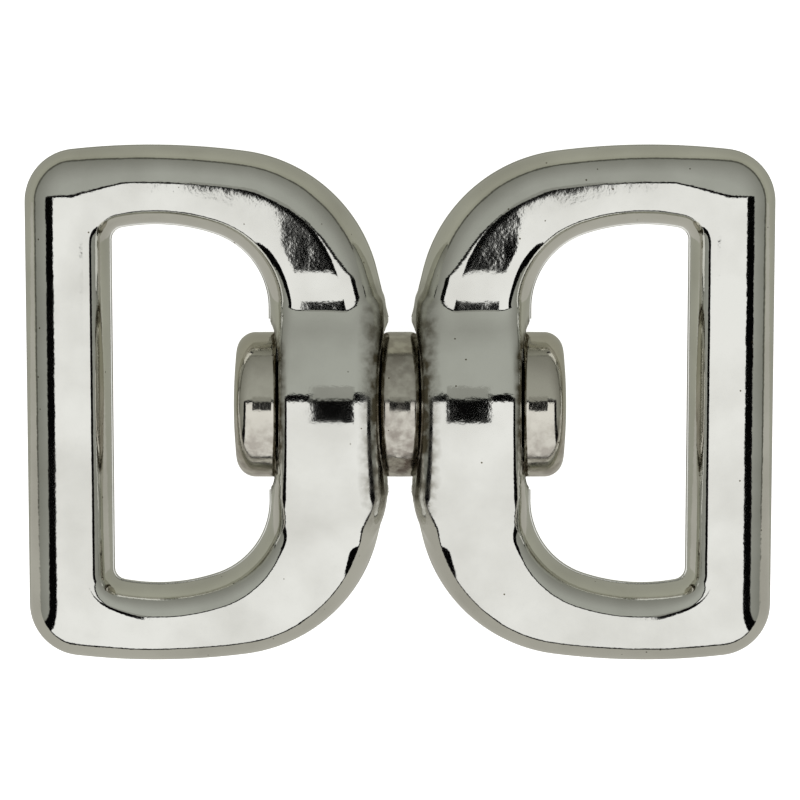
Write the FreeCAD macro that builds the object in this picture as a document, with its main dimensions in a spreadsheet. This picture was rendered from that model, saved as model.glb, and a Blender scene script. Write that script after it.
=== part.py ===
"""Double strap-eye swivel: two die-cast D eyes that turn on one cast-in spool.

The swivel lies flat. X runs along the swivel axis, Y along the strap bars and Z through the
thickness, with the origin in the middle of the spool's collar. Millimetres throughout.
"""
import FreeCAD, Part
import math
import os
import Sketcher

App = FreeCAD
V = App.Vector

# Driving dimensions: alias, value, what it is. The sheet holds them and the features read it.
DIMENSIONS = [
    # one D eye, seen from the front; the right eye, with its distances from the spool's middle
    ("bar_outer", 26.10, "swivel middle to the outer face of the strap bar"),
    ("bar_inner", 20.13, "swivel middle to the inner face of the strap bar"),
    ("corner_radius", 3.7, "outer corner of the D"),
    ("crown_radius", 50.0, "slow curve along the outside of each limb"),
    ("crown_middle", 17.30, "where each limb reaches furthest out, along X"),
    ("limb_outer", 18.16, "swivel axis to the outside of a limb"),
    ("shoulder_radius", 10.90, "outside of the D, from limb to hub"),
    ("shoulder_start", 12.20, "swivel middle to the centre of that shoulder, along X"),
    ("rim_face", 0.73, "swivel middle to the sharp rim round the collar seat"),
    ("rim_radius", 5.90, "radius of that rim about the swivel axis"),
    ("window_corner", 0.90, "inner corner of the D, at the strap bar"),
    ("window_crown", 13.0, "inside of each limb"),
    ("window_middle", 17.00, "where the window is longest, along X"),
    ("limb_inner", 12.68, "swivel axis to the inside of a limb"),
    ("window_shoulder", 5.50, "inside of the D, from limb to hub"),
    ("window_hub", 9.10, "swivel middle to the window's edge at the hub"),
    # thickness of the eye
    ("half_at_hub", 3.62, "half thickness where the limbs meet the hub"),
    ("half_at_bar", 2.82, "half thickness at the strap bar's outer face"),
    ("outer_round", 2.70, "rounding of the outside edges"),
    ("inner_round", 2.05, "rounding of the window's edges"),
    # hub barrel that houses the bore
    ("hub_outer", 1.62, "swivel middle to the hub's seat for the collar"),
    ("hub_inner", 8.35, "swivel middle to the hub's seat for the head"),
    ("hub_half_height", 6.05, "swivel axis to the crown of the hub's barrel, before its land is cut"),
    ("hub_land", 5.93, "swivel axis to the narrow flat land along that crown"),
    ("hub_land_reach", 9.00, "half length of the tool that cuts the land"),
    ("hub_half_span", 8.30, "half length of the hub across the axis"),
    ("hub_side_half", 3.00, "half thickness of the hub at the ends of that span"),
    ("hub_inner_round", 2.00, "rounding of the hub's edge beside the window"),
    ("hub_outer_round", 1.10, "rounding of the hub's edge beside the collar"),
    ("bore_radius", 2.88, "bore for the spool's shank"),
    ("bore_flare", 0.30, "chamfer at both mouths of the bore"),
    ("dish_radius", 3.90, "flat part of the collar's dished seat"),
    ("dish_knee_depth", 1.35, "swivel middle to the knee in the dish's wall"),
    ("dish_knee_radius", 5.35, "radius of that knee about the swivel axis"),
    ("head_seat_radius", 5.75, "counterbore that the head turns in"),
    # spool
    ("shank_radius", 2.80, "spool's shank, 0.08 clear of the bore"),
    ("collar_radius", 5.07, "collar and both heads"),
    ("collar_half", 1.45, "half width of the collar"),
    ("collar_round", 0.72, "rounding of the collar's edges"),
    ("head_inner", 8.50, "swivel middle to a head's bearing face"),
    ("head_outer", 11.38, "swivel middle to the edge of a head's domed end"),
    ("head_crown", 11.62, "swivel middle to the top of the dome"),
    ("head_round", 1.15, "rounding of a head's outer edge"),
    ("head_inner_round", 0.30, "rounding of a head's bearing edge"),
    # blanks, larger than what is cut from them
    ("blank", 60.0, "length of blanks and cutting tools"),
    ("blank_half", 30.0, "half of that"),
    ("clear_of_hub", 3.0, "how far the seat tool runs past the hub at both ends"),
]

doc = App.newDocument("strap_eye_swivel")


def make_sheet():
    """The spreadsheet of driving dimensions, and the same numbers as a dict."""
    sheet = doc.addObject("Spreadsheet::Sheet", "sizes")
    for row, (alias, value, meaning) in enumerate(DIMENSIONS, start=1):
        sheet.set(f"A{row}", meaning)
        sheet.set(f"B{row}", str(value))
        sheet.setAlias(f"B{row}", alias)
    doc.recompute()
    return {alias: float(sheet.get(alias)) for alias, _, _ in DIMENSIONS}


D = make_sheet()


def origin_plane(body, role):
    """One of a body's own origin planes or axes, by its role, such as XY_Plane."""
    return next(f for f in body.Origin.OriginFeatures if f.Role == role)


def sketch_on(body, role, name, offset=None):
    """An empty sketch on a body's origin plane, moved along the plane's normal by a sheet cell."""
    sketch = body.newObject("Sketcher::SketchObject", name)
    sketch.AttachmentSupport = [(origin_plane(body, role), "")]
    sketch.MapMode = "FlatFace"
    if offset:
        sketch.setExpression(".AttachmentOffset.Base.z", f"sizes.{offset}")
    return sketch


def value_of(sketch, cell):
    """The number that an expression of sheet cells comes to now."""
    return float(sketch.evalExpression(cell))


def bind(sketch, kind, args, cell):
    """A dimension of the sketch, driven by an expression of sheet cells."""
    value = value_of(sketch, cell)
    index = sketch.addConstraint(Sketcher.Constraint(kind, *args, value))
    sketch.setExpression(f"Constraints[{index}]", cell)


def join(sketch, chain, tangents):
    """Closes a chain of edges end to start; the joints listed in tangents are smooth."""
    for number, edge in enumerate(chain):
        after = chain[(number + 1) % len(chain)]
        kind = "Tangent" if number in tangents else "Coincident"
        first_end = edge[1]
        second_end = after[2]
        sketch.addConstraint(Sketcher.Constraint(kind, edge[0], first_end, after[0], second_end))


def line(sketch, start, end):
    """A straight edge: (index, point at its end, point at its start)."""
    return (sketch.addGeometry(Part.LineSegment(V(*start, 0), V(*end, 0))), 2, 1)


def arc(sketch, centre, radius, first, last):
    """An arc drawn from angle first to angle last; it may run clockwise."""
    circle = Part.Circle(V(*centre, 0), V(0, 0, 1), radius)
    index = sketch.addGeometry(Part.ArcOfCircle(circle, min(first, last), max(first, last)))
    return (index, 2, 1) if last > first else (index, 1, 2)


def on_circle(centre, radius, angle):
    return (centre[0] + radius * math.cos(angle), centre[1] + radius * math.sin(angle))


def inner_centre(outer_centre, outer_radius, radius, x):
    """Centre, at x, of a circle that touches a larger one from inside, above its centre."""
    rise = math.sqrt((outer_radius - radius) ** 2 - (x - outer_centre[0]) ** 2)
    return (x, outer_centre[1] + rise)


def angle_of(origin, point):
    return math.atan2(point[1] - origin[1], point[0] - origin[0])


def outside_loop(sketch):
    """Everything outside the upper half of the D: what the blank loses round the eye."""
    crown = (D["crown_middle"], D["limb_outer"] - D["crown_radius"])
    corner = inner_centre(crown, D["crown_radius"], D["corner_radius"],
                          D["bar_outer"] - D["corner_radius"])
    shoulder = inner_centre(crown, D["crown_radius"], D["shoulder_radius"],
                            D["shoulder_start"])
    rim = (D["rim_face"], D["rim_radius"])
    away = math.hypot(shoulder[0] - rim[0], shoulder[1] - rim[1])
    heading = angle_of(rim, shoulder) + math.asin(D["shoulder_radius"] / away)
    reach = math.sqrt(away ** 2 - D["shoulder_radius"] ** 2)
    cheek_top = on_circle(rim, reach, heading)
    far = D["blank_half"]
    to_corner, to_shoulder = angle_of(crown, corner), angle_of(crown, shoulder)
    chain = [
        line(sketch, (D["bar_outer"], 0), (D["bar_outer"], corner[1])),
        arc(sketch, corner, D["corner_radius"], 0, to_corner),
        arc(sketch, crown, D["crown_radius"], to_corner, to_shoulder),
        arc(sketch, shoulder, D["shoulder_radius"], to_shoulder, angle_of(shoulder, cheek_top)),
        line(sketch, cheek_top, rim),
        line(sketch, rim, (D["rim_face"], 0)),
        line(sketch, (D["rim_face"], 0), (-far, 0)),
        line(sketch, (-far, 0), (-far, far)),
        line(sketch, (-far, far), (far, far)),
        line(sketch, (far, far), (far, 0)),
        line(sketch, (far, 0), (D["bar_outer"], 0)),
    ]
    join(sketch, chain, tangents={0, 1, 2, 3})
    bar, corner_arc, crown_arc, shoulder_arc, cheek, face = [e[0] for e in chain[:6]]
    for edge in (bar, face, chain[7][0], chain[9][0]):
        sketch.addConstraint(Sketcher.Constraint("Vertical", edge))
    for edge in (chain[6][0], chain[8][0]):
        sketch.addConstraint(Sketcher.Constraint("Horizontal", edge))
    sketch.addConstraint(Sketcher.Constraint("PointOnObject", bar, 1, -1))
    sketch.addConstraint(Sketcher.Constraint("PointOnObject", face, 2, -1))
    sketch.addConstraint(Sketcher.Constraint("PointOnObject", chain[9][0], 2, -1))
    bind(sketch, "DistanceX", (-1, 1, bar, 1), "sizes.bar_outer")
    bind(sketch, "Radius", (corner_arc,), "sizes.corner_radius")
    bind(sketch, "Radius", (crown_arc,), "sizes.crown_radius")
    bind(sketch, "Radius", (shoulder_arc,), "sizes.shoulder_radius")
    bind(sketch, "DistanceX", (-1, 1, crown_arc, 3), "sizes.crown_middle")
    bind(sketch, "DistanceY", (crown_arc, 3, -1, 1), "sizes.crown_radius - sizes.limb_outer")
    bind(sketch, "DistanceX", (-1, 1, shoulder_arc, 3), "sizes.shoulder_start")
    bind(sketch, "DistanceX", (-1, 1, face, 1), "sizes.rim_face")
    bind(sketch, "DistanceY", (-1, 1, face, 1), "sizes.rim_radius")
    bind(sketch, "DistanceX", (chain[8][0], 1, -1, 1), "sizes.blank_half")
    bind(sketch, "DistanceX", (-1, 1, chain[8][0], 2), "sizes.blank_half")
    bind(sketch, "DistanceY", (-1, 1, chain[8][0], 2), "sizes.blank_half")


def window_loop(sketch):
    """The upper half of the D's window, where the strap goes."""
    crown = (D["window_middle"], D["limb_inner"] - D["window_crown"])
    corner = inner_centre(crown, D["window_crown"], D["window_corner"],
                          D["bar_inner"] - D["window_corner"])
    shoulder = inner_centre(crown, D["window_crown"], D["window_shoulder"],
                            D["window_hub"] + D["window_shoulder"])
    to_corner, to_shoulder = angle_of(crown, corner), angle_of(crown, shoulder)
    chain = [
        line(sketch, (D["bar_inner"], 0), (D["bar_inner"], corner[1])),
        arc(sketch, corner, D["window_corner"], 0, to_corner),
        arc(sketch, crown, D["window_crown"], to_corner, to_shoulder),
        arc(sketch, shoulder, D["window_shoulder"], to_shoulder, math.pi),
        line(sketch, (D["window_hub"], shoulder[1]), (D["window_hub"], 0)),
        line(sketch, (D["window_hub"], 0), (D["bar_inner"], 0)),
    ]
    join(sketch, chain, tangents={0, 1, 2, 3})
    bar, corner_arc, crown_arc, shoulder_arc, hub, foot = [e[0] for e in chain]
    for edge in (bar, hub):
        sketch.addConstraint(Sketcher.Constraint("Vertical", edge))
    sketch.addConstraint(Sketcher.Constraint("PointOnObject", foot, 1, -1))
    sketch.addConstraint(Sketcher.Constraint("PointOnObject", foot, 2, -1))
    bind(sketch, "DistanceX", (-1, 1, bar, 1), "sizes.bar_inner")
    bind(sketch, "DistanceX", (-1, 1, hub, 2), "sizes.window_hub")
    bind(sketch, "Radius", (corner_arc,), "sizes.window_corner")
    bind(sketch, "Radius", (crown_arc,), "sizes.window_crown")
    bind(sketch, "Radius", (shoulder_arc,), "sizes.window_shoulder")
    bind(sketch, "DistanceX", (-1, 1, crown_arc, 3), "sizes.window_middle")
    bind(sketch, "DistanceY", (crown_arc, 3, -1, 1), "sizes.window_crown - sizes.limb_inner")


def settle(*sketches):
    """Solves the sketches and stops on one that has no clean solution."""
    doc.recompute()
    for sketch in sketches:
        if sketch.solve() != 0:
            raise RuntimeError(f"sketch {sketch.Name} is not solved: {sketch.RedundantConstraints}"
                               f" {sketch.ConflictingConstraints}")
        print(f"{sketch.Name}: {sketch.GeometryCount} edges, fully constrained {sketch.FullyConstrained}")


def wedge_profile(sketch):
    """The eye's taper, seen along Y: thick at the hub, thinner at the strap bar."""
    corners = [(0, -1), (1, -1), (1, 1), (0, 1)]
    near, far = D["half_at_hub"], D["half_at_bar"]
    points = [(D["bar_outer"] * x, y * (far if x else near)) for x, y in corners]
    chain = [line(sketch, points[n], points[(n + 1) % 4]) for n in range(4)]
    join(sketch, chain, tangents=set())
    end, start = chain[1][0], chain[3][0]
    sketch.addConstraint(Sketcher.Constraint("Symmetric", start, 1, start, 2, -1))
    sketch.addConstraint(Sketcher.Constraint("Symmetric", end, 1, end, 2, -1))
    sketch.addConstraint(Sketcher.Constraint("PointOnObject", start, 1, -2))
    bind(sketch, "DistanceX", (-1, 1, end, 1), "sizes.bar_outer")
    bind(sketch, "DistanceY", (-1, 1, end, 2), "sizes.half_at_bar")
    bind(sketch, "DistanceY", (-1, 1, start, 1), "sizes.half_at_hub")


def make_limbs():
    """The D itself: a tapered blank, cut to the outline and rounded over."""
    body = doc.addObject("PartDesign::Body", "eye_limbs")
    wedge = sketch_on(body, "XZ_Plane", "taper_profile")
    wedge_profile(wedge)
    settle(wedge)
    blank = body.newObject("PartDesign::Pad", "tapered_blank")
    blank.Profile = wedge
    blank.Midplane = True
    blank.setExpression("Length", "sizes.blank")
    doc.recompute()

    outline = sketch_on(body, "XY_Plane", "outline")
    outside_loop(outline)
    window_loop(outline)
    settle(outline)
    cut = body.newObject("PartDesign::Pocket", "outline_cut")
    cut.Profile = outline
    cut.Midplane = True
    cut.setExpression("Length", "sizes.blank")
    doc.recompute()
    whole = body.newObject("PartDesign::Mirrored", "both_halves")
    whole.Originals = [cut]
    whole.MirrorPlane = (origin_plane(body, "XZ_Plane"), [""])
    body.Tip = whole
    doc.recompute()
    print("limb blank volume", round(blank.Shape.Volume, 1), "cut to", round(whole.Shape.Volume, 1))
    return body, whole


def loop_edges(shape, want_outer):
    """Names of the front and back edges of the D: its outline, or its window."""
    names = []
    for face in shape.Faces:
        normal = face.normalAt(0, 0) if face.Surface.TypeId == "Part::GeomPlane" else V(1, 0, 0)
        if abs(normal.z) < 0.9:
            continue
        for wire in face.Wires:
            if wire.isSame(face.OuterWire) == want_outer:
                names += [n for n, e in edge_names(shape) if any(e.isSame(w) for w in wire.Edges)]
    return names


def edge_names(shape):
    return [(f"Edge{n}", e) for n, e in enumerate(shape.Edges, start=1)]


def fillet(body, base, name, edges, cell):
    """A PartDesign fillet on named edges, its radius driven by the sheet."""
    feature = body.newObject("PartDesign::Fillet", name)
    feature.Base = (base, edges)
    feature.setExpression("Radius", f"sizes.{cell}")
    doc.recompute()
    if not feature.Shape.isValid():
        raise RuntimeError(f"fillet {name} failed")
    return feature


def round_limbs(body, whole):
    rounded = fillet(body, whole, "outside_rounding", loop_edges(whole.Shape, True), "outer_round")
    fillet(body, rounded, "window_rounding", loop_edges(rounded.Shape, False), "inner_round")


def hub_profile(sketch):
    """The hub seen along the swivel axis: a barrel, top and bottom, between short sides."""
    span, side, height = D["hub_half_span"], D["hub_side_half"], D["hub_half_height"]
    drop = height - side
    radius = (span ** 2 + drop ** 2) / (2 * drop)
    half_angle = math.asin(span / radius)
    up = math.pi / 2
    chain = [
        line(sketch, (span, -side), (span, side)),
        arc(sketch, (0, height - radius), radius, up - half_angle, up + half_angle),
        line(sketch, (-span, side), (-span, -side)),
        arc(sketch, (0, radius - height), radius, -up - half_angle, -up + half_angle),
    ]
    join(sketch, chain, tangents=set())
    right, top, left, bottom = [e[0] for e in chain]
    sketch.addConstraint(Sketcher.Constraint("Symmetric", right, 1, right, 2, -1))
    sketch.addConstraint(Sketcher.Constraint("Symmetric", right, 2, left, 1, -2))
    sketch.addConstraint(Sketcher.Constraint("Symmetric", left, 1, left, 2, -1))
    sketch.addConstraint(Sketcher.Constraint("Equal", top, bottom))
    barrel = "(pow(sizes.hub_half_span; 2) + pow(sizes.hub_half_height - sizes.hub_side_half; 2))"
    bind(sketch, "Radius", (top,), f"{barrel} / (2 * (sizes.hub_half_height - sizes.hub_side_half))")
    bind(sketch, "DistanceX", (-1, 1, right, 2), "sizes.hub_half_span")
    bind(sketch, "DistanceY", (-1, 1, right, 2), "sizes.hub_side_half")


def land_boxes(sketch):
    """Two rectangles, past the crown on both sides of the hub."""
    for sign in ("", "-"):
        low, high = f"{sign}sizes.hub_land", f"{sign}(sizes.hub_land + sizes.clear_of_hub)"
        cells = [("-sizes.hub_land_reach", low), ("sizes.hub_land_reach", low),
                 ("sizes.hub_land_reach", high), ("-sizes.hub_land_reach", high)]
        points = [(value_of(sketch, x), value_of(sketch, y)) for x, y in cells]
        chain = [line(sketch, points[n], points[(n + 1) % len(points)]) for n in range(len(points))]
        join(sketch, chain, tangents=set())
        place_points(sketch, chain, cells)


def crown_edges(shape, x):
    """Names of the two barrel arcs of the hub at one of its ends."""
    found = []
    for name, edge in edge_names(shape):
        box = edge.BoundBox
        at_end = abs(box.XMin - x) < 1e-4 and abs(box.XMax - x) < 1e-4
        if at_end and edge.Curve.TypeId == "Part::GeomCircle":
            found.append(name)
    return found


def make_hub():
    """The barrel round the bore, from the collar's seat to the head's seat."""
    body = doc.addObject("PartDesign::Body", "eye_hub")
    profile = sketch_on(body, "YZ_Plane", "hub_profile", offset="hub_outer")
    hub_profile(profile)
    settle(profile)
    pad = body.newObject("PartDesign::Pad", "hub_barrel")
    pad.Profile = profile
    pad.setExpression("Length", "sizes.hub_inner - sizes.hub_outer")
    doc.recompute()
    inner = fillet(body, pad, "hub_window_edge", crown_edges(pad.Shape, D["hub_inner"]), "hub_inner_round")
    collar_edges = crown_edges(inner.Shape, D["hub_outer"])
    outer = fillet(body, inner, "hub_collar_edge", collar_edges, "hub_outer_round")
    lands = sketch_on(body, "YZ_Plane", "land_profile")
    land_boxes(lands)
    settle(lands)
    cut = body.newObject("PartDesign::Pocket", "crown_lands")
    cut.Profile = lands
    cut.Midplane = True
    cut.setExpression("Length", "sizes.blank")
    doc.recompute()
    print("hub volume", round(outer.Shape.Volume, 1), "less its lands", round(cut.Shape.Volume, 1))
    return body


def make_seat_tool():
    """What is cut from the hub about the swivel axis: dished seat, bore and head seat."""
    body = doc.addObject("PartDesign::Body", "seat_tool")
    sketch = sketch_on(body, "XY_Plane", "seat_profile")
    dish_mouth = ("sizes.dish_knee_radius + (sizes.rim_radius - sizes.dish_knee_radius)"
                  " * (sizes.dish_knee_depth + sizes.clear_of_hub)"
                  " / (sizes.dish_knee_depth - sizes.rim_face)")
    cells = [
        ("-sizes.clear_of_hub", "0"),
        ("-sizes.clear_of_hub", dish_mouth),
        ("sizes.dish_knee_depth", "sizes.dish_knee_radius"),
        ("sizes.hub_outer", "sizes.dish_radius"),
        ("sizes.hub_outer", "sizes.bore_radius + sizes.bore_flare"),
        ("sizes.hub_outer + sizes.bore_flare", "sizes.bore_radius"),
        ("sizes.hub_inner - sizes.bore_flare", "sizes.bore_radius"),
        ("sizes.hub_inner", "sizes.bore_radius + sizes.bore_flare"),
        ("sizes.hub_inner", "sizes.head_seat_radius"),
        ("sizes.hub_inner + sizes.clear_of_hub", "sizes.head_seat_radius"),
        ("sizes.hub_inner + sizes.clear_of_hub", "0"),
    ]
    points = [(value_of(sketch, x), value_of(sketch, y)) for x, y in cells]
    chain = [line(sketch, points[n], points[(n + 1) % len(points)]) for n in range(len(points))]
    join(sketch, chain, tangents=set())
    place_points(sketch, chain, cells)
    settle(sketch)
    turn = body.newObject("PartDesign::Revolution", "seats_and_bore")
    turn.Profile = sketch
    turn.ReferenceAxis = (origin_plane(body, "X_Axis"), [""])
    turn.Angle = 360
    doc.recompute()
    return body


def place_points(sketch, chain, cells):
    """Pins the start of each edge of a chain at sheet-driven X and Y distances from the origin."""
    for (edge, _, start), (x, y) in zip(chain, cells):
        for kind, cell in (("DistanceX", x), ("DistanceY", y)):
            if cell == "0":
                sketch.addConstraint(Sketcher.Constraint("PointOnObject", edge, start, -1))
            else:
                bind(sketch, kind, (-1, 1, edge, start), cell)


def make_eye(limbs, hub, tool):
    """Limbs and hub as one casting, with the seats and the bore cut."""
    joined = doc.addObject("Part::Fuse", "eye_joined")
    joined.Base, joined.Tool = limbs, hub
    joined.Refine = True
    doc.recompute()
    eye = doc.addObject("Part::Cut", "right_eye_solid")
    eye.Base, eye.Tool = joined, tool
    eye.Refine = True
    doc.recompute()
    eye.Label = "right_eye"
    mirrored = doc.addObject("Part::Mirroring", "left_eye_solid")
    mirrored.Source = eye
    mirrored.Base = V(0, 0, 0)
    mirrored.Normal = V(1, 0, 0)
    mirrored.Label = "left_eye"
    doc.recompute()
    return eye, mirrored


def make_spool():
    """Shank, collar and both domed heads: one turned form about the swivel axis."""
    body = doc.addObject("PartDesign::Body", "spool_body")
    sketch = sketch_on(body, "XY_Plane", "spool_profile")
    shank, collar = D["shank_radius"], D["collar_radius"]
    dome = D["head_crown"] - D["head_outer"]
    dome_radius = (collar ** 2 + dome ** 2) / (2 * dome)
    reach = math.asin(collar / dome_radius)
    centre = D["head_crown"] - dome_radius
    right = [
        (D["collar_half"], collar), (D["collar_half"], shank), (D["head_inner"], shank),
        (D["head_inner"], collar), (D["head_outer"], collar),
    ]
    left = [(-x, y) for x, y in reversed(right)]
    points = left + right
    chain = [line(sketch, points[n], points[n + 1]) for n in range(len(points) - 1)]
    chain.append(arc(sketch, (centre, 0), dome_radius, reach, 0))
    chain.append(line(sketch, (D["head_crown"], 0), (-D["head_crown"], 0)))
    chain.append(arc(sketch, (-centre, 0), dome_radius, math.pi, math.pi - reach))
    join(sketch, chain, tangents=set())
    names = [("head_outer", "collar_radius"), ("head_inner", "collar_radius"),
             ("head_inner", "shank_radius"), ("collar_half", "shank_radius"),
             ("collar_half", "collar_radius")]
    cells = [(f"-sizes.{x}", f"sizes.{y}") for x, y in names]
    cells += [(f"sizes.{x}", f"sizes.{y}") for x, y in reversed(names)]
    place_points(sketch, chain[:len(cells)], cells)
    axis = chain[-2]
    sketch.addConstraint(Sketcher.Constraint("PointOnObject", axis[0], 1, -1))
    sketch.addConstraint(Sketcher.Constraint("PointOnObject", axis[0], 2, -1))
    bind(sketch, "DistanceX", (-1, 1, axis[0], 1), "sizes.head_crown")
    bind(sketch, "DistanceX", (axis[0], 2, -1, 1), "sizes.head_crown")
    for end in (chain[-3][0], chain[-1][0]):
        sketch.addConstraint(Sketcher.Constraint("PointOnObject", end, 3, -1))
    settle(sketch)
    turn = body.newObject("PartDesign::Revolution", "spool_blank")
    turn.Profile = sketch
    turn.ReferenceAxis = (origin_plane(body, "X_Axis"), [""])
    turn.Angle = 360
    doc.recompute()
    step = fillet(body, turn, "head_edges", rim_edges(turn.Shape, "head_outer"), "head_round")
    step = fillet(body, step, "bearing_edges", rim_edges(step.Shape, "head_inner"), "head_inner_round")
    fillet(body, step, "collar_edges", rim_edges(step.Shape, "collar_half"), "collar_round")
    body.Label = "swivel_spool"
    return body


def rim_edges(shape, cell):
    """Names of the full-diameter circles of the spool at plus and minus a sheet distance."""
    found = []
    for name, edge in edge_names(shape):
        box = edge.BoundBox
        wide = abs(box.YMax - D["collar_radius"]) < 1e-3
        flat = box.XLength < 1e-4 and abs(abs(box.XMin) - D[cell]) < 1e-3
        if wide and flat:
            found.append(name)
    return found


def check_and_write(parts):
    """Stops on any failed object or invalid shape, then writes one STEP file for each part."""
    doc.recompute()
    failed = [o.Name for o in doc.Objects if {"Invalid", "Error"} & set(o.State)]
    if failed:
        raise RuntimeError(f"failed objects: {failed}")
    os.makedirs("parts", exist_ok=True)
    for old in os.listdir("parts"):
        os.remove(os.path.join("parts", old))
    for part in parts:
        shape = part.Shape
        if shape.isNull() or not shape.isValid() or len(shape.Solids) != 1:
            raise RuntimeError(f"{part.Label} is not one valid solid")
        shape.exportStep(os.path.join("parts", part.Label + ".step"))
        box = shape.BoundBox
        size = [round(v, 2) for v in (box.XLength, box.YLength, box.ZLength)]
        print(f"{part.Label}: volume {shape.Volume:.1f} mm3, box {size}, faces {len(shape.Faces)}")


limbs_body, limbs_cut = make_limbs()
round_limbs(limbs_body, limbs_cut)
right_eye, left_eye = make_eye(limbs_body, make_hub(), make_seat_tool())
check_and_write([left_eye, right_eye, make_spool()])
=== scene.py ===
# %% [markdown]
# # A nickel-plated strap swivel
# Two D-shaped strap eyes turn on a spool-shaped pin. All three are die-cast zinc with a bright
# nickel plate. The engineering model gives every piece its place and size. This lesson gives the
# same pieces the soft edges, the flowing surfaces and the mirror finish of the real castings.

# %% Load the engineering model
import math

import bmesh
import bpy
import numpy as np
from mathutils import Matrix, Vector


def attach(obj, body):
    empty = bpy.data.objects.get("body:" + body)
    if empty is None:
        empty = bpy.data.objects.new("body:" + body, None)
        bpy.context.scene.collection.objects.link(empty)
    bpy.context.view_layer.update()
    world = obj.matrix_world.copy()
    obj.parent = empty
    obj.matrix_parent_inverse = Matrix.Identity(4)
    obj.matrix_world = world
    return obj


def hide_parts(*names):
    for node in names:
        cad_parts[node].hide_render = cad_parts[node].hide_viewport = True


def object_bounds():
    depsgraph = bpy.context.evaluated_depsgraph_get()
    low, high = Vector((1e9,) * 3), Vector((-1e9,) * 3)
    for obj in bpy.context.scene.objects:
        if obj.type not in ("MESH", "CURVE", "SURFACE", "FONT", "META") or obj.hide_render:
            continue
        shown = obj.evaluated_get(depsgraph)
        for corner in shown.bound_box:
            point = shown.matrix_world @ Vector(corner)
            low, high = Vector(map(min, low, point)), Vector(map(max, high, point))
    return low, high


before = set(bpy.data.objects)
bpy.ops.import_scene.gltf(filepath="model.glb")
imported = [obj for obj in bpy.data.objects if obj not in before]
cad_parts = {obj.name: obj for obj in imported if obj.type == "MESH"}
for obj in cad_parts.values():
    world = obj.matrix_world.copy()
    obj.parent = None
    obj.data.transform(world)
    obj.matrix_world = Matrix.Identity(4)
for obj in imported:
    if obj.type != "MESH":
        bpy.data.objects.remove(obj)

cad_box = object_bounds()
print("engineering model's box in metres:", [[round(v, 4) for v in corner] for corner in cad_box])

# %% [markdown]
# ## Small helpers
# Every material and node tree below is built in code. One function adds a node with its settings
# and links, so a tree reads from top to bottom. Colours are written the way a paint chip is, as
# sRGB hex, and turned to the linear values that the renderer wants. Two ramps blend one size or
# mark into the next.

# %% A node, a colour and a length
MM = 0.001


def add(tree, kind, inputs=None, **settings):
    """Adds a node. inputs maps a socket's name or number to a value or to another node's output."""
    new = tree.nodes.new(kind)
    for name, value in settings.items():
        setattr(new, name, value)
    for name, value in (inputs or {}).items():
        if isinstance(value, bpy.types.NodeSocket):
            tree.links.new(value, new.inputs[name])
        else:
            new.inputs[name].default_value = value
    return new


def linear(hex_colour):
    """An sRGB hex colour as linear red, green, blue and alpha."""
    parts = [int(hex_colour[n:n + 2], 16) / 255 for n in (1, 3, 5)]
    return [c / 12.92 if c <= 0.04045 else ((c + 0.055) / 1.055) ** 2.4 for c in parts] + [1.0]


def rising(value, start, width):
    """0 up to start, rising to 1 over width."""
    return np.clip((value - start) / width, 0, 1)


def falling(value, end, width):
    """0 from end on, and 1 where a value is width or more below it."""
    return np.clip((end - value) / width, 0, 1)


print("middle grey is", [round(c, 3) for c in linear("#808080")])

# %% [markdown]
# ## The outline of a strap eye
# Seen from the front an eye is a capital D: a straight strap bar, two limbs, and a curved back
# that carries the hub. A die maker draws that with straight lines and tangent arcs, so the lesson
# does too. Only the upper half is needed, because the lower half mirrors it. All sizes are in
# millimetres from the middle of the pin, for the right-hand eye.

# %% Sizes of the D
BAR_OUTER, BAR_INNER = 26.10, 20.13
LIMB_OUTER, LIMB_INNER = 18.16, 12.68
RIM_X, RIM_RADIUS = 0.73, 5.90
WINDOW_HUB = 9.10


def angle(origin, point):
    return math.atan2(point[1] - origin[1], point[0] - origin[0])


def on_circle(centre, radius, turn):
    return (centre[0] + radius * math.cos(turn), centre[1] + radius * math.sin(turn))


def inner_centre(crown, crown_radius, radius, x):
    """Centre, at x, of an arc that runs smoothly into a larger one."""
    rise = math.sqrt((crown_radius - radius) ** 2 - (x - crown[0]) ** 2)
    return (x, crown[1] + rise)


def d_half(bar, crown_x, crown_y, crown_radius, corner_radius, shoulder_x, shoulder_radius, back):
    """Half a D, as lines and arcs from the bar round to the back, counter-clockwise."""
    crown = (crown_x, crown_y - crown_radius)
    corner = inner_centre(crown, crown_radius, corner_radius, bar - corner_radius)
    shoulder = inner_centre(crown, crown_radius, shoulder_radius, shoulder_x)
    away = math.hypot(shoulder[0] - back[0], shoulder[1] - back[1])
    heading = angle(back, shoulder) + math.asin(min(1.0, shoulder_radius / away))
    cheek = on_circle(back, math.sqrt(max(0.0, away ** 2 - shoulder_radius ** 2)), heading)
    over_corner, over_shoulder = angle(crown, corner), angle(crown, shoulder)
    return [
        ("line", (bar, 0.0), (bar, corner[1])),
        ("arc", corner, corner_radius, 0.0, over_corner),
        ("arc", crown, crown_radius, over_corner, over_shoulder),
        ("arc", shoulder, shoulder_radius, over_shoulder, angle(shoulder, cheek) % math.tau),
        ("line", cheek, back),
        ("line", back, (back[0], 0.0)),
    ]


OUTSIDE = d_half(bar=BAR_OUTER, crown_x=17.3, crown_y=LIMB_OUTER, crown_radius=50.0,
                 corner_radius=3.7, shoulder_x=12.2, shoulder_radius=10.9,
                 back=(RIM_X, RIM_RADIUS))
WINDOW = d_half(bar=BAR_INNER, crown_x=17.0, crown_y=LIMB_INNER, crown_radius=13.0,
                corner_radius=0.9, shoulder_x=WINDOW_HUB + 5.5, shoulder_radius=5.5,
                back=(WINDOW_HUB, 4.0))


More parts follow.
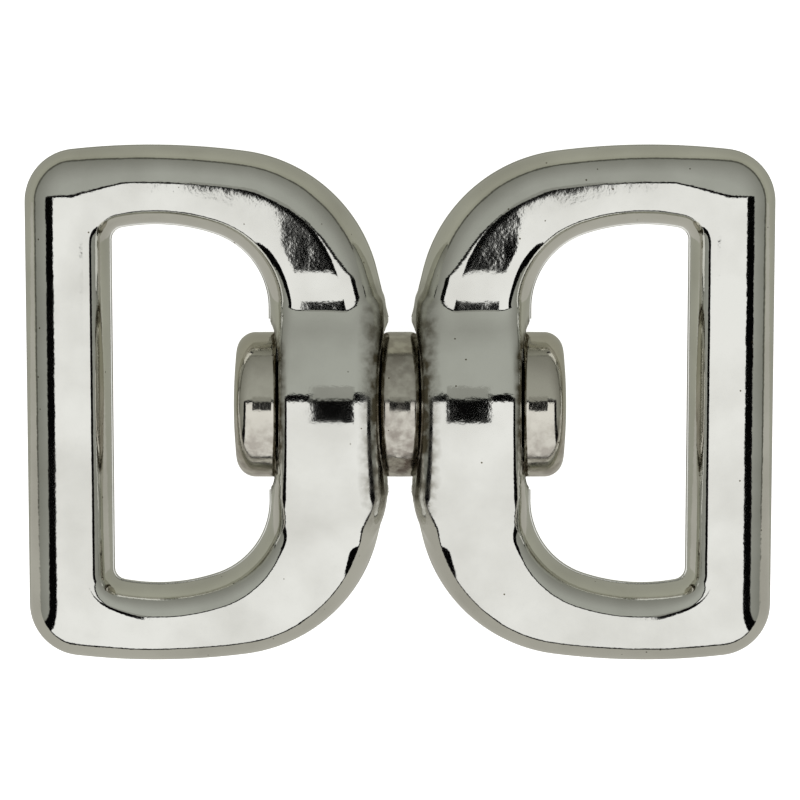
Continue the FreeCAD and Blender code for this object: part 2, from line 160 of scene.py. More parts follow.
def depth_inside(chain, x, y):
    """Signed distance from points to a chain: above zero inside the D, below zero outside."""
    nearest = np.full(x.shape, np.inf)
    depth = np.zeros(x.shape)
    for kind, *shape in chain:
        if kind == "line":
            (ax, ay), (bx, by) = shape
            length = math.hypot(bx - ax, by - ay)
            ux, uy = (bx - ax) / length, (by - ay) / length
            along = np.clip((x - ax) * ux + (y - ay) * uy, 0, length)
            gap = np.hypot(x - ax - along * ux, y - ay - along * uy)
            here = (y - ay) * ux - (x - ax) * uy
        else:
            (cx, cy), radius, first, last = shape
            here = radius - np.hypot(x - cx, y - cy)
            turn = np.arctan2(y - cy, x - cx)
            gap = np.where((turn >= first) & (turn <= last), np.abs(here), np.inf)
        closer = gap < nearest
        nearest = np.where(closer, gap, nearest)
        depth = np.where(closer, np.sign(here) * gap, depth)
    return depth


probe = depth_inside(OUTSIDE, np.array([23.1, 10.0]), np.array([0.0, 15.4]))
print("metal outside the middle of the strap bar and of a limb, mm:", probe.round(2))

# %% [markdown]
# ## The rule of the casting
# The eye could be modelled with loops of faces and a Subdivision Surface, but on mirror-bright
# metal every uneven loop shows as a kink in the reflections. A cast surface follows a simple rule
# instead: the limbs have an egg-shaped section, the hub is a barrel, and the two run into each
# other with a fillet. The hub isn't quite even: its crown lies a little towards -Y, its flank is
# fuller on that side, and the limb dips beside it on the +Y side. The rule is one function that is
# negative inside the metal.

# %% Limbs, hub and seats as one function
SKIN = 0.05
OUTER_ROUND, INNER_ROUND = 2.75, 2.15
BAR_OUTER_ROUND, BAR_INNER_ROUND = 3.85, 1.75
THICK_AT_HUB, THICK_AT_BAR = 3.45, 2.80
SINK, SINK_AT, SINK_WIDE = 0.20, 7.4, 1.35
RISE_FROM, RISE, NEAR_HUB = 15.0, 0.05, 12.0
HUB_OUTER, HUB_INNER = 1.62, 8.35
HUB_HEIGHT, HUB_BEND, LOW_BEND = 5.93, 13.0, 14.0
HUB_CROWN, HUB_MIDDLE, HUB_BULGE = -1.0, 4.9, 34.0
COLLAR_EXTRA, COLLAR_SIDE_ROUND = 0.5, 1.9
WINDOW_EXTRA, WINDOW_SIDE_ROUND, CROWN_ROUND = 0.35, 1.3, 1.6
TOP_CREASE, LOW_CREASE, SEAT_EDGE = 0.35, 1.4, 0.12
HUB_SPAN, LOW_SPAN, END_ROUND, LOW_ROUND = 8.5, 9.0, 1.2, 3.0
BORE, DISH_FLOOR, KNEE_X, KNEE_RADIUS, HEAD_SEAT = 2.88, 3.90, 1.35, 5.35, 5.75
PAST_RIM, BORE_END, SEAT_END = 4.0, HUB_INNER + 2.0, BAR_INNER - 4.0


def into_edge(gap, radius):
    """0 on the flat, 1 at a rounded edge's outermost line, and more past it."""
    return np.clip(1 - gap / radius, 0, None)


def smooth_min(a, b, fillet):
    mix = np.clip(0.5 + 0.5 * (b - a) / fillet, 0, 1)
    return b * (1 - mix) + a * mix - fillet * mix * (1 - mix)


def limb_rule(x, y, side, z):
    """The limbs and the strap bar, with a shallow dip beside the hub on the +Y side."""
    along = np.clip(x / BAR_OUTER, 0, 1)
    by_hub = falling(x, end=NEAR_HUB, width=4.0)
    sunk = SINK * np.exp(-((y - SINK_AT) / SINK_WIDE) ** 2)
    risen = RISE * np.clip(RISE_FROM - side, 0, RISE_FROM - SINK_AT)
    half = THICK_AT_HUB + (THICK_AT_BAR - THICK_AT_HUB) * along
    half = half + (risen - sunk) * by_hub ** 2 * (3 - 2 * by_hub)
    outer_round = OUTER_ROUND + (BAR_OUTER_ROUND - OUTER_ROUND) * rising(x, start=19.0, width=4.0)
    inner_round = INNER_ROUND + (BAR_INNER_ROUND - INNER_ROUND) * rising(x, start=18.0, width=2.0)
    outer = into_edge(depth_inside(OUTSIDE, x, side) - SKIN, outer_round)
    inner = into_edge(-depth_inside(WINDOW, x, side) - SKIN, inner_round)
    return (np.sqrt(outer ** 2 + inner ** 2 + (z / half) ** 2) - 1) * THICK_AT_BAR


def hub_rule(x, y, side, z):
    off = y - HUB_CROWN
    bend = np.where(off > 0, HUB_BEND, LOW_BEND)
    crown = HUB_HEIGHT - bend + np.sqrt(np.clip(bend ** 2 - off ** 2, 1, None))
    crown = crown - (x - HUB_MIDDLE) ** 2 / (2 * HUB_BULGE)
    collar_side = into_edge(x - HUB_OUTER + COLLAR_EXTRA, COLLAR_SIDE_ROUND)
    window_side = into_edge(HUB_INNER + WINDOW_EXTRA - x, WINDOW_SIDE_ROUND)
    top = into_edge(crown - np.abs(z), CROWN_ROUND)
    span, end_round = np.where(y > 0, HUB_SPAN, LOW_SPAN), np.where(y > 0, END_ROUND, LOW_ROUND)
    end = into_edge(span - side, end_round)
    return (np.sqrt(collar_side ** 2 + window_side ** 2 + top ** 2 + end ** 2) - 1) * CROWN_ROUND


def seat_rule(x, reach):
    """Above zero where the collar's dish, the bore and the head's seat are cut away."""
    stops = [0.0, DISH_FLOOR, KNEE_RADIUS, RIM_RADIUS, RIM_RADIUS + PAST_RIM]
    slope = (KNEE_X - RIM_X) / (RIM_RADIUS - KNEE_RADIUS)
    depths = [HUB_OUTER, HUB_OUTER, KNEE_X, RIM_X, RIM_X - PAST_RIM * slope]
    dish = np.interp(reach, stops, depths) - x
    head = np.minimum(x - HUB_INNER, HEAD_SEAT - reach)
    bore = np.where(x < BORE_END, BORE - reach, -BORE)
    return np.maximum(np.maximum(dish, np.where(x < SEAT_END, head, -BORE)), bore)


def eye_rule(points):
    """The casting: below zero in the metal, above zero outside, in about millimetres."""
    x, y, z = points.T
    side = np.abs(y)
    low = rising(-y, start=2.0, width=4.0) * rising(np.abs(z), start=1.0, width=1.5)
    crease = TOP_CREASE + (LOW_CREASE - TOP_CREASE) * low
    metal = smooth_min(limb_rule(x, y, side, z), hub_rule(x, y, side, z), crease)
    cut = seat_rule(x, np.hypot(side, z))
    return -smooth_min(-metal, -cut, SEAT_EDGE)


middle = np.array([[23.1, 0.0, 0.0], [5.0, 0.0, 4.5], [15.0, 0.0, 0.0]])
print("in the strap bar, in the hub, in the window:", eye_rule(middle).round(2))

# %% [markdown]
# ## From the rule to a mesh
# A copy of the engineering model's eye is merged and remeshed with small voxels, which gives
# thousands of even faces in about the right place. Each point then walks along the rule's slope
# until the rule is zero, so the voxels leave no steps behind.

# %% Remesh a copy and settle it on the rule
VOXEL = 0.21 * MM
STEP, GENTLEST, LONGEST_MOVE = 0.01, 0.05, 0.25
PASSES, SMOOTH_ROUNDS, SETTLE_ROUNDS = 3, 3, 4


def merged_copy(node):
    """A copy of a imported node's mesh with its loose triangles joined."""
    mesh = bpy.data.objects[node].data.copy()
    work = bmesh.new()
    work.from_mesh(mesh)
    bmesh.ops.remove_doubles(work, verts=work.verts, dist=0.001 * MM)
    work.to_mesh(mesh)
    work.free()
    mesh.materials.clear()
    return mesh


def new_piece(name, mesh):
    piece = bpy.data.objects.new(name, mesh)
    bpy.context.scene.collection.objects.link(piece)
    return piece


def baked(piece):
    """Replaces a piece's mesh with what its modifiers make of it, and removes them."""
    ready = piece.evaluated_get(bpy.context.evaluated_depsgraph_get())
    mesh = bpy.data.meshes.new_from_object(ready)
    piece.modifiers.clear()
    piece.data = mesh
    return mesh


def get_points(mesh):
    flat = np.empty(len(mesh.vertices) * 3)
    mesh.vertices.foreach_get("co", flat)
    return flat.reshape(-1, 3)


def set_points(mesh, points):
    mesh.vertices.foreach_set("co", points.astype(np.float32).ravel())
    mesh.update()


def settle(points, rule, rounds):
    """Moves points in millimetres along a rule's slope until the rule is zero."""
    for _ in range(rounds):
        value = rule(points)
        slope = np.empty_like(points)
        for axis in range(3):
            shift = np.zeros(3)
            shift[axis] = STEP
            slope[:, axis] = (rule(points + shift) - rule(points - shift)) / (2 * STEP)
        steep = np.maximum((slope ** 2).sum(axis=1), GENTLEST)
        move = -(value / steep)[:, None] * slope
        far = np.linalg.norm(move, axis=1, keepdims=True)
        points = points + move * np.minimum(1, LONGEST_MOVE / np.maximum(far, 1e-9))
    return points


def even_out(mesh, rounds):
    """Relaxes a mesh, so that its faces are even before they settle."""
    work = bmesh.new()
    work.from_mesh(mesh)
    for _ in range(rounds):
        bmesh.ops.smooth_vert(work, verts=work.verts, factor=0.5,
                              use_axis_x=True, use_axis_y=True, use_axis_z=True)
    work.to_mesh(mesh)
    work.free()


def cast_eye(name, node):
    """The finished skin of the right-hand casting."""
    piece = new_piece(name, merged_copy(node))
    remesh = piece.modifiers.new("even_faces", "REMESH")
    remesh.mode = "VOXEL"
    remesh.voxel_size = VOXEL
    mesh = baked(piece)
    for _ in range(PASSES):
        even_out(mesh, SMOOTH_ROUNDS)
        set_points(mesh, settle(get_points(mesh) / MM, eye_rule, SETTLE_ROUNDS) * MM)
    miss = np.abs(eye_rule(get_points(mesh) / MM))
    print(name, len(mesh.polygons), "faces, largest miss in mm", miss.max().round(3))
    return piece


def mirrored(piece, name):
    """The same casting for the other end of the pin."""
    mesh = piece.data.copy()
    set_points(mesh, get_points(mesh) * np.array([-1.0, 1.0, 1.0]))
    mesh.flip_normals()
    return new_piece(name, mesh)


right_eye = cast_eye("right_eye_casting", "right_eye")
left_eye = mirrored(right_eye, "left_eye_casting")

# %% [markdown]
# ## Painted shade in the recesses
# Shade that falls into the deep corners is painted in. Each casting carries a number per point: 1 in the
# dish, the bore and the head's seat, less round the dish's rim, and 0 in the open. The material is
# browner and duller where it is high, as painted shade.

# %% Painted shade at each point
# How strong the painted shade round the dish's rim is.
RIM_PAINTED_SHADE = 0.62


def shelter(mesh):
    points = get_points(mesh) / MM
    x = np.abs(points[:, 0])
    reach = np.hypot(points[:, 1], points[:, 2])
    # Painted shade: 1 in the dish, the bore and the head's seat, less round the dish's rim.
    dish = falling(reach, end=6.6, width=0.9) * falling(x, end=2.6, width=0.8)
    rim_shade = RIM_PAINTED_SHADE * falling(reach, end=9.5, width=2.5) * falling(x, end=3.0, width=0.9)
    seat = falling(reach, end=6.6, width=0.6) * rising(x, start=7.7, width=0.5) * (x < BORE_END)
    bore = falling(reach, end=3.3, width=0.4) * (x < BORE_END)
    marks = mesh.attributes.new("shelter", "FLOAT", "POINT")
    deep = np.maximum(np.maximum(dish, seat), np.maximum(bore, rim_shade))
    marks.data.foreach_set("value", deep.astype(np.float32))


for casting in (right_eye, left_eye):
    shelter(casting.data)
# The marks on both castings are painted shade in the recesses.
print("sheltered marks are on both castings")

# %% [markdown]
# ## The plating
# Bright nickel on cast zinc is a warm, slightly green-grey mirror. It isn't flat: the casting's
# skin shows through as orange peel about 0.2 mm across, and longer waves bend the reflections.
# Both come from noise through Bump nodes, from 0.003 mm high for the peel to 0.014 mm for waves.
# Roughness varies a little, and the metal is browner and duller where shade is painted into the recesses.

# %% Nickel, from a few sizes in millimetres
GRAIN_MM, WAVE_MM, BLOTCH_MM, PIT_MM, PATCH_MM = 0.24, 1.7, 5.0, 0.9, 0.8
PIT_SIZE, PIT_SHARE, MOST_WORN, MOST_EXTRA_ROUGH = 0.07, 0.28, 0.22, 0.22


def nickel(name, bright, dull, roughness, grain_height, wave_height):
    """Bright nickel plate on die-cast zinc. Heights are in millimetres."""
    material = bpy.data.materials.new(name)
    material.use_nodes = True
    tree = material.node_tree
    shader = tree.nodes["Principled BSDF"]
    place = add(tree, "ShaderNodeTexCoord").outputs["Object"]
    peel = add(tree, "ShaderNodeTexNoise", {"Vector": place, "Scale": 1 / (GRAIN_MM * MM), "Detail": 2.0})
    waves = add(tree, "ShaderNodeTexNoise", {"Vector": place, "Scale": 1 / (WAVE_MM * MM), "Detail": 1.0})
    blotch = add(tree, "ShaderNodeTexNoise", {"Vector": place, "Scale": 1 / (BLOTCH_MM * MM), "Detail": 5.0})
    long_bump = add(tree, "ShaderNodeBump", {"Height": waves.outputs[0], "Strength": 1.0,
                                             "Distance": wave_height * MM})
    fine_bump = add(tree, "ShaderNodeBump", {"Height": peel.outputs[0], "Strength": 1.0,
                                             "Distance": grain_height * MM,
                                             "Normal": long_bump.outputs[0]})
    cells = add(tree, "ShaderNodeTexVoronoi", {"Vector": place, "Scale": 1 / (PIT_MM * MM)})
    speck = add(tree, "ShaderNodeMath", {0: cells.outputs["Distance"], 1: PIT_SIZE}, operation="LESS_THAN")
    chance = add(tree, "ShaderNodeSeparateColor", {0: cells.outputs["Color"]})
    rare = add(tree, "ShaderNodeMath", {0: chance.outputs[0], 1: PIT_SHARE}, operation="LESS_THAN")
    pits = add(tree, "ShaderNodeMath", {0: speck.outputs[0], 1: rare.outputs[0]}, operation="MULTIPLY")
    patches = add(tree, "ShaderNodeTexNoise", {"Vector": place, "Scale": 1 / (PATCH_MM * MM), "Detail": 4.0})
    # The marks attribute is painted shade in the recesses, and on the spool also the gate mark; noise breaks
    # it into patches.
    marks = add(tree, "ShaderNodeAttribute", attribute_name="shelter")
    worn = add(tree, "ShaderNodeMapRange", {"Value": blotch.outputs[0], "From Min": 0.35,
                                            "From Max": 0.75, "To Min": 0.0, "To Max": MOST_WORN})
    patchy = add(tree, "ShaderNodeMapRange", {"Value": patches.outputs[0], "From Min": 0.38, "From Max": 0.62,
                                             "To Min": 0.45, "To Max": 1.25})
    patchy_shade_and_gate = add(tree, "ShaderNodeMath", {0: marks.outputs["Fac"], 1: patchy.outputs[0]}, operation="MULTIPLY")
    # Painted shade and the gate mark join the real worn blotches here.
    shade_gate_and_wear = add(tree, "ShaderNodeMath", {0: patchy_shade_and_gate.outputs[0], 1: worn.outputs[0]}, operation="MAXIMUM")
    mixed = add(tree, "ShaderNodeMath", {0: shade_gate_and_wear.outputs[0], 1: pits.outputs[0]}, operation="MAXIMUM")
    colour = add(tree, "ShaderNodeMix", {"Factor": mixed.outputs[0]}, data_type="RGBA")
    colour.inputs["A"].default_value = linear(bright)
    colour.inputs["B"].default_value = linear(dull)
    rough = add(tree, "ShaderNodeMapRange", {"Value": mixed.outputs[0], "To Min": roughness,
                                             "To Max": roughness + MOST_EXTRA_ROUGH})
    tree.links.new(colour.outputs["Result"], shader.inputs["Base Color"])
    tree.links.new(rough.outputs[0], shader.inputs["Roughness"])
    tree.links.new(fine_bump.outputs[0], shader.inputs["Normal"])
    shader.inputs["Metallic"].default_value = 1.0
    return material


# The dull colour serves the painted shade in the recesses as well as worn blotches and pits.
bright_plate = nickel("bright nickel plate on die-cast zinc", bright="#e4e4de", dull="#6a6352",
                      roughness=0.04, grain_height=0.0028, wave_height=0.014)
dull_plate = nickel("thin nickel plate on the cast spool", bright="#dad7cc", dull="#6f635a",
                    roughness=0.07, grain_height=0.0045, wave_height=0.014)
print("finishes:", bright_plate.name, "and", dull_plate.name)


def finish_with(piece, material):
    piece.data.materials.clear()
    piece.data.materials.append(material)
    piece.data.polygons.foreach_set("use_smooth", [True] * len(piece.data.polygons))
    piece.data.update()


for casting in (right_eye, left_eye):
    finish_with(casting, bright_plate)

# %% [markdown]
# ## The spool, turned by Geometry Nodes
# The pin between the eyes has a shank, a collar and two domed heads, all round the same axis. Its
# shape follows one rule: a profile carried round the axis. A Geometry Nodes tree does that with a
# grid, whose one direction reads the profile and whose other direction is the turn.

# %% The spool's profile
SHANK, COLLAR = 2.80, 5.07
COLLAR_HALF, COLLAR_ROUND = 1.45, 0.72
HEAD_INNER, HEAD_OUTER, HEAD_CROWN, HEAD_ROUND, UNDER_ROUND = 8.50, 11.24, 11.60, 1.35, 0.3
ALONG, AROUND = 420, 145


def corner_points(centre, radius, first, last, count):
    turns = np.radians(np.linspace(first, last, count))
    return [(centre[0] + radius * math.cos(t), centre[1] + radius * math.sin(t)) for t in turns]


def spool_profile():
    """Points from the middle of one domed end to the middle of the other, in millimetres."""
    dome = [(HEAD_CROWN - (HEAD_CROWN - HEAD_OUTER) * (r / COLLAR) ** 2, r)
            for r in np.linspace(0, COLLAR - HEAD_ROUND, 14)]
    rim_x = dome[-1][0] - HEAD_ROUND
    rim = corner_points((rim_x, COLLAR - HEAD_ROUND), HEAD_ROUND, first=84, last=6, count=12)
    under = corner_points((HEAD_INNER + UNDER_ROUND, COLLAR - UNDER_ROUND), UNDER_ROUND,
                          first=90, last=180, count=5)
    neck = [(HEAD_INNER, SHANK + UNDER_ROUND), (HEAD_INNER - UNDER_ROUND, SHANK)]
    collar_edge = corner_points((COLLAR_HALF - COLLAR_ROUND, COLLAR - COLLAR_ROUND), COLLAR_ROUND,
                                first=0, last=90, count=9)
    half = dome + rim[::-1] + under + neck + [(COLLAR_HALF, SHANK)] + collar_edge
    return half + [(-x, r) for x, r in reversed(half)]


def profile_curve(name, points):
    """An open curve through points given in millimetres."""
    curve = bpy.data.curves.new(name, "CURVE")
    curve.dimensions = "3D"
    line = curve.splines.new("POLY")
    line.points.add(len(points) - 1)
    for target, (x, y) in zip(line.points, points):
        target.co = (x * MM, y * MM, 0, 1)
    return curve


def tree_with(name, inputs):
    """A Geometry Nodes tree with named number inputs after its geometry."""
    tree = bpy.data.node_groups.new(name, "GeometryNodeTree")
    tree.interface.new_socket("Geometry", in_out="INPUT", socket_type="NodeSocketGeometry")
    tree.interface.new_socket("Geometry", in_out="OUTPUT", socket_type="NodeSocketGeometry")
    for label, (kind, value) in inputs.items():
        made = tree.interface.new_socket(label, in_out="INPUT", socket_type=kind)
        if value is not None:
            made.default_value = value
    return tree


def lathe_tree():
    tree = tree_with("turned_profile", {"Along": ("NodeSocketInt", ALONG),
                                        "Around": ("NodeSocketInt", AROUND),
                                        "Finish": ("NodeSocketMaterial", None)})
    given = add(tree, "NodeGroupInput")
    grid = add(tree, "GeometryNodeMeshGrid", {"Size X": 1.0, "Size Y": 1.0,
                                              "Vertices X": given.outputs["Along"],
                                              "Vertices Y": given.outputs["Around"]})
    place = add(tree, "GeometryNodeInputPosition")
    parts = add(tree, "ShaderNodeSeparateXYZ", {0: place.outputs[0]})
    share = add(tree, "ShaderNodeMath", {0: parts.outputs["X"], 1: 0.5}, operation="ADD")
    turn = add(tree, "ShaderNodeMath", {0: parts.outputs["Y"], 1: math.tau}, operation="MULTIPLY")
    read = add(tree, "GeometryNodeSampleCurve", {"Curves": given.outputs["Geometry"],
                                                 "Factor": share.outputs[0]}, mode="FACTOR")
    point = add(tree, "ShaderNodeSeparateXYZ", {0: read.outputs["Position"]})
    cosine = add(tree, "ShaderNodeMath", {0: turn.outputs[0]}, operation="COSINE")
    sine = add(tree, "ShaderNodeMath", {0: turn.outputs[0]}, operation="SINE")
    across = add(tree, "ShaderNodeMath", {0: point.outputs["Y"], 1: cosine.outputs[0]}, operation="MULTIPLY")
    up = add(tree, "ShaderNodeMath", {0: point.outputs["Y"], 1: sine.outputs[0]}, operation="MULTIPLY")
    turned = add(tree, "ShaderNodeCombineXYZ", {0: point.outputs["X"], 1: across.outputs[0],
                                                2: up.outputs[0]})
    moved = add(tree, "GeometryNodeSetPosition", {"Geometry": grid.outputs["Mesh"],
                                                  "Position": turned.outputs[0]})
    joined = add(tree, "GeometryNodeMergeByDistance", {"Geometry": moved.outputs[0], "Distance": 0.004 * MM})
    real = add(tree, "GeometryNodeRealizeInstances", {"Geometry": joined.outputs[0]})
    dressed = add(tree, "GeometryNodeSetMaterial", {"Geometry": real.outputs[0],
                                                    "Material": given.outputs["Finish"]})
    add(tree, "NodeGroupOutput", {"Geometry": dressed.outputs[0]})
    return tree


def run_tree(piece, tree, values):
    """Runs a Geometry Nodes tree on a piece and keeps the mesh that it makes."""
    modifier = piece.modifiers.new(tree.name, "NODES")
    modifier.node_group = tree
    sockets = {s.name: s.identifier for s in tree.interface.items_tree if s.in_out == "INPUT"}
    for label, value in values.items():
        modifier[sockets[label]] = value
    ready = piece.evaluated_get(bpy.context.evaluated_depsgraph_get())
    mesh = bpy.data.meshes.new_from_object(ready)
    name = piece.name
    bpy.data.objects.remove(piece)
    return new_piece(name, mesh)


def outward(mesh):
    """Turns a closed mesh's faces outwards."""
    work = bmesh.new()
    work.from_mesh(mesh)
    bmesh.ops.recalc_face_normals(work, faces=work.faces)
    work.to_mesh(mesh)
    work.free()


blank = new_piece("spool_casting", profile_curve("spool_profile", spool_profile()))
spool = run_tree(blank, lathe_tree(), {"Along": ALONG, "Around": AROUND, "Finish": dull_plate})
outward(spool.data)
print("spool:", len(spool.data.polygons), "faces")

# %% [markdown]
# ## The spool's cast skin
# A rough patch on the collar's rim stands for the place where a casting's gate is broken off. The
# points there are sunk by a twentieth of a millimetre, pushed in and out by a few hundredths, with
# a fixed seed, and marked as dull. The same marks paint shade on the shank and under the heads,
# between the collar and the hubs. The collar, and a little the heads, are duller too, more so towards -Y.

# %% Gate mark and painted shade on the spool
GATE_AT, GATE_REACH = (0.2, -4.1, 3.0), 1.5
GATE_ROUGH, GATE_SUNK, GATE_GRAIN = 0.035, 0.05, 0.7
GATE_DULL, GATE_DULL_MOST = 1.2, 0.8
COLLAR_DULL, COLLAR_LOW_DULL, HEAD_DULL, HEAD_LOW_DULL = 0.40, 0.20, 0.10, 0.30
COLLAR_REACH, SHANK_REACH = COLLAR_HALF + 0.1, 9.0


def waves_at(points, size, seed, count=24):
    """Smooth noise from -1 to 1: a sum of sine waves in seeded directions. size is in mm."""
    chance = np.random.default_rng(seed)
    total = np.zeros(len(points))
    for _ in range(count):
        way = chance.normal(size=3)
        way *= math.tau / (size * np.linalg.norm(way)) * chance.uniform(0.6, 1.6)
        total += np.sin(points @ way + chance.uniform(0, math.tau))
    return total / math.sqrt(count)


def gate_mark_and_painted_shade(mesh):
    points = get_points(mesh) / MM
    reach = np.hypot(points[:, 1], points[:, 2])
    patch = np.exp(-((points - GATE_AT) ** 2).sum(axis=1) / GATE_REACH ** 2)
    # Painted shade on the shank and under the heads, between the collar and the hubs.
    between = falling(reach, end=4.9, width=0.8) * (np.abs(points[:, 0]) < SHANK_REACH)
    middle = np.abs(points[:, 0]) < COLLAR_REACH
    low = rising(-points[:, 1], start=0.0, width=2.0)
    # The collar is duller all round and the heads a little, both more towards -Y.
    on_collar = np.where(middle, COLLAR_DULL + COLLAR_LOW_DULL * low, HEAD_DULL + HEAD_LOW_DULL * low)
    dull = np.maximum(np.clip(patch * GATE_DULL, 0, GATE_DULL_MOST), np.maximum(between, on_collar))
    marks = mesh.attributes.new("shelter", "FLOAT", "POINT")
    marks.data.foreach_set("value", dull.astype(np.float32))
    push = patch * GATE_ROUGH * waves_at(points, GATE_GRAIN, seed=4) - patch * GATE_SUNK
    outwards = points * [0, 1, 1] / np.maximum(reach, 0.1)[:, None]
    set_points(mesh, (points + outwards * push[:, None]) * MM)


gate_mark_and_painted_shade(spool.data)
finish_with(spool, dull_plate)
print("gate mark reaches", GATE_REACH, "mm from its middle")

# %% [markdown]
# ## Flash along the parting line
# The two halves of a die meet on the eye's middle plane, and a hair of metal escapes there. It is
# a thin bead that follows the outline and the window. Curve to Mesh in a Geometry Nodes tree
# draws it, with noise on its radius, because flash comes and goes along a real casting.

# %% Beads along the outline and the window
BEAD_MM, BEAD_SPACING, WINDOW_BEAD_OUT = 0.11, 0.25, 0.4
FLASH_END = HEAD_SEAT + 0.25


def along_chain(chain, spacing):
    """Evenly spaced points along half a D, in millimetres."""
    upper = []
    for kind, *shape in chain:
        if kind == "line":
            (ax, ay), (bx, by) = shape
            count = max(2, round(math.hypot(bx - ax, by - ay) / spacing))
            upper += [(ax + (bx - ax) * n / count, ay + (by - ay) * n / count) for n in range(count)]
        else:
            centre, radius, first, last = shape
            count = max(2, round(abs(last - first) * radius / spacing))
            upper += [on_circle(centre, radius, first + (last - first) * n / count) for n in range(count)]
    return upper


def bead_tree():
    tree = tree_with("flash_bead", {"Radius": ("NodeSocketFloat", BEAD_MM * MM),
                                    "Seed": ("NodeSocketFloat", 1.0),
                                    "Finish": ("NodeSocketMaterial", None)})
    given = add(tree, "NodeGroupInput")
    place = add(tree, "GeometryNodeInputPosition")
    noise = add(tree, "ShaderNodeTexNoise", {"Vector": place.outputs[0], "W": given.outputs["Seed"],
                                             "Scale": 1 / (2.5 * MM), "Detail": 3.0}, noise_dimensions="4D")
    width = add(tree, "ShaderNodeMapRange", {"Value": noise.outputs[0], "From Min": 0.3, "From Max": 0.7,
                                             "To Min": 0.55, "To Max": 1.0})
    sized = add(tree, "GeometryNodeSetCurveRadius", {"Curve": given.outputs["Geometry"],
                                                     "Radius": width.outputs[0]})
    ring = add(tree, "GeometryNodeCurvePrimitiveCircle", {"Resolution": 8, "Radius": given.outputs["Radius"]})
    swept = add(tree, "GeometryNodeCurveToMesh", {"Curve": sized.outputs[0], "Profile Curve": ring.outputs[0],
                                                  "Fill Caps": True})
    real = add(tree, "GeometryNodeRealizeInstances", {"Geometry": swept.outputs[0]})
    dressed = add(tree, "GeometryNodeSetMaterial", {"Geometry": real.outputs[0],
                                                    "Material": given.outputs["Finish"]})
    add(tree, "NodeGroupOutput", {"Geometry": dressed.outputs[0]})
    return tree


def inset(points, depth):
    """Moves a run of points to the left of its own direction."""
    way = np.gradient(np.array(points), axis=0)
    way /= np.linalg.norm(way, axis=1, keepdims=True)
    return np.array(points) + depth * np.stack([-way[:, 1], way[:, 0]], axis=1)


def flash(name, chain, side, depth, seed):
    """One bead round the D, from seat to seat: it stops where the hub's recesses are cut."""
    upper = inset(along_chain(chain[:-1], BEAD_SPACING), depth)
    upper = upper[(upper[:, 0] > SEAT_END) | (upper[:, 1] > FLASH_END)]
    lower = upper[::-1] * [1, -1]
    route = np.concatenate([lower[:-1], upper]) * [side, 1]
    line = new_piece(name, profile_curve(name, [tuple(p) for p in route]))
    piece = run_tree(line, bead_tree(), {"Radius": BEAD_MM * MM, "Seed": float(seed),
                                         "Finish": bright_plate})
    outward(piece.data)
    finish_with(piece, bright_plate)
    return piece


beads = {}
for body, side in (("left_eye", -1), ("right_eye", 1)):
    beads[body] = [flash(f"{body}_outline_flash", OUTSIDE, side, depth=BEAD_MM, seed=3 + side),
                   flash(f"{body}_window_flash", WINDOW, side,
                         depth=-BEAD_MM * WINDOW_BEAD_OUT, seed=7 + side)]
print("flash beads:", sum(len(pair) for pair in beads.values()))

# %% [markdown]
# ## What moves with what
# Each casting stands for one engineering node and rides on that node's body, so it turns about
# the spool when the joint does. The flash belongs to its casting.

# %% Ride and replace
for piece, node, body, slot in ((left_eye, "left_eye", "left_eye", "bright_nickel"),
                                (right_eye, "right_eye", "right_eye", "bright_nickel"),
                                (spool, "swivel_spool", "spool", "recess_nickel")):
    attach(piece, body)
    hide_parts(node)
for body, pair in beads.items():
    for bead in pair:
        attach(bead, body)

# %% [markdown]
# ## The studio
# A mirror finish is a picture of the room, so the room is the most important light here. One big
# white softbox hangs over the near side of the part, with a black rim round its cloth. Grey walls
# stand round it, and a dark seam marks where they meet the table, which is paler on the near side.
# The camera is a black spot in the softbox's far edge, with a strip of grey wall behind it. The
# World shader draws that room from the direction alone, and the camera sees a plain white backdrop
# instead of it.

# %% Room, drawn by direction
# Each panel is its middle tilt, its half tilt and its half swing, in degrees.
SOFTBOX = (-37.5, 46.5, 47.0)
RIM = (-37.5, 51.5, 62.0)
BEHIND_CAMERA = (13.5, 5.0, 5.0)
CAMERA_SPOT = (4.0, 6.8, 5.0)
NEAR_TABLE = (-128.0, 40.0, 80.0)
SOFT_EDGE = 1.0


def ramp(tree, value, low, high, stops):
    """A colour ramp from low to high; each stop is a value and a hex colour."""
    scaled = add(tree, "ShaderNodeMapRange", {"Value": value, "From Min": low, "From Max": high})
    node = add(tree, "ShaderNodeValToRGB", {0: scaled.outputs[0]})
    points = node.color_ramp.elements
    points[0].color, points[1].color = linear(stops[0][1]), linear(stops[-1][1])
    for place, colour in stops[1:-1]:
        points.new((place - low) / (high - low)).color = linear(colour)
    return node.outputs[0]


def within(tree, value, centre, half, soft):
    """1 where a value is within half of centre, falling to 0 over soft more."""
    off = add(tree, "ShaderNodeMath", {0: value, 1: centre}, operation="SUBTRACT")
    size = add(tree, "ShaderNodeMath", {0: off.outputs[0]}, operation="ABSOLUTE")
    falling = add(tree, "ShaderNodeMapRange", {"Value": size.outputs[0], "From Min": half,
                                               "From Max": half + soft, "To Min": 1.0, "To Max": 0.0})
    return falling.outputs[0]


def panel(tree, tilt, swing, sizes, under, colour):
    """Paints a rectangle of the room over what is under it."""
    centre, half_tilt, half_swing = sizes
    tall = within(tree, tilt, centre, half_tilt, SOFT_EDGE)
    wide = within(tree, swing, 0.0, half_swing, SOFT_EDGE)
    mask = add(tree, "ShaderNodeMath", {0: tall, 1: wide}, operation="MINIMUM")
    mixed = add(tree, "ShaderNodeMix", {"Factor": mask.outputs[0]}, data_type="RGBA")
    tree.links.new(under, mixed.inputs["A"])
    mixed.inputs["B"].default_value = linear(colour)
    return mixed.outputs["Result"]


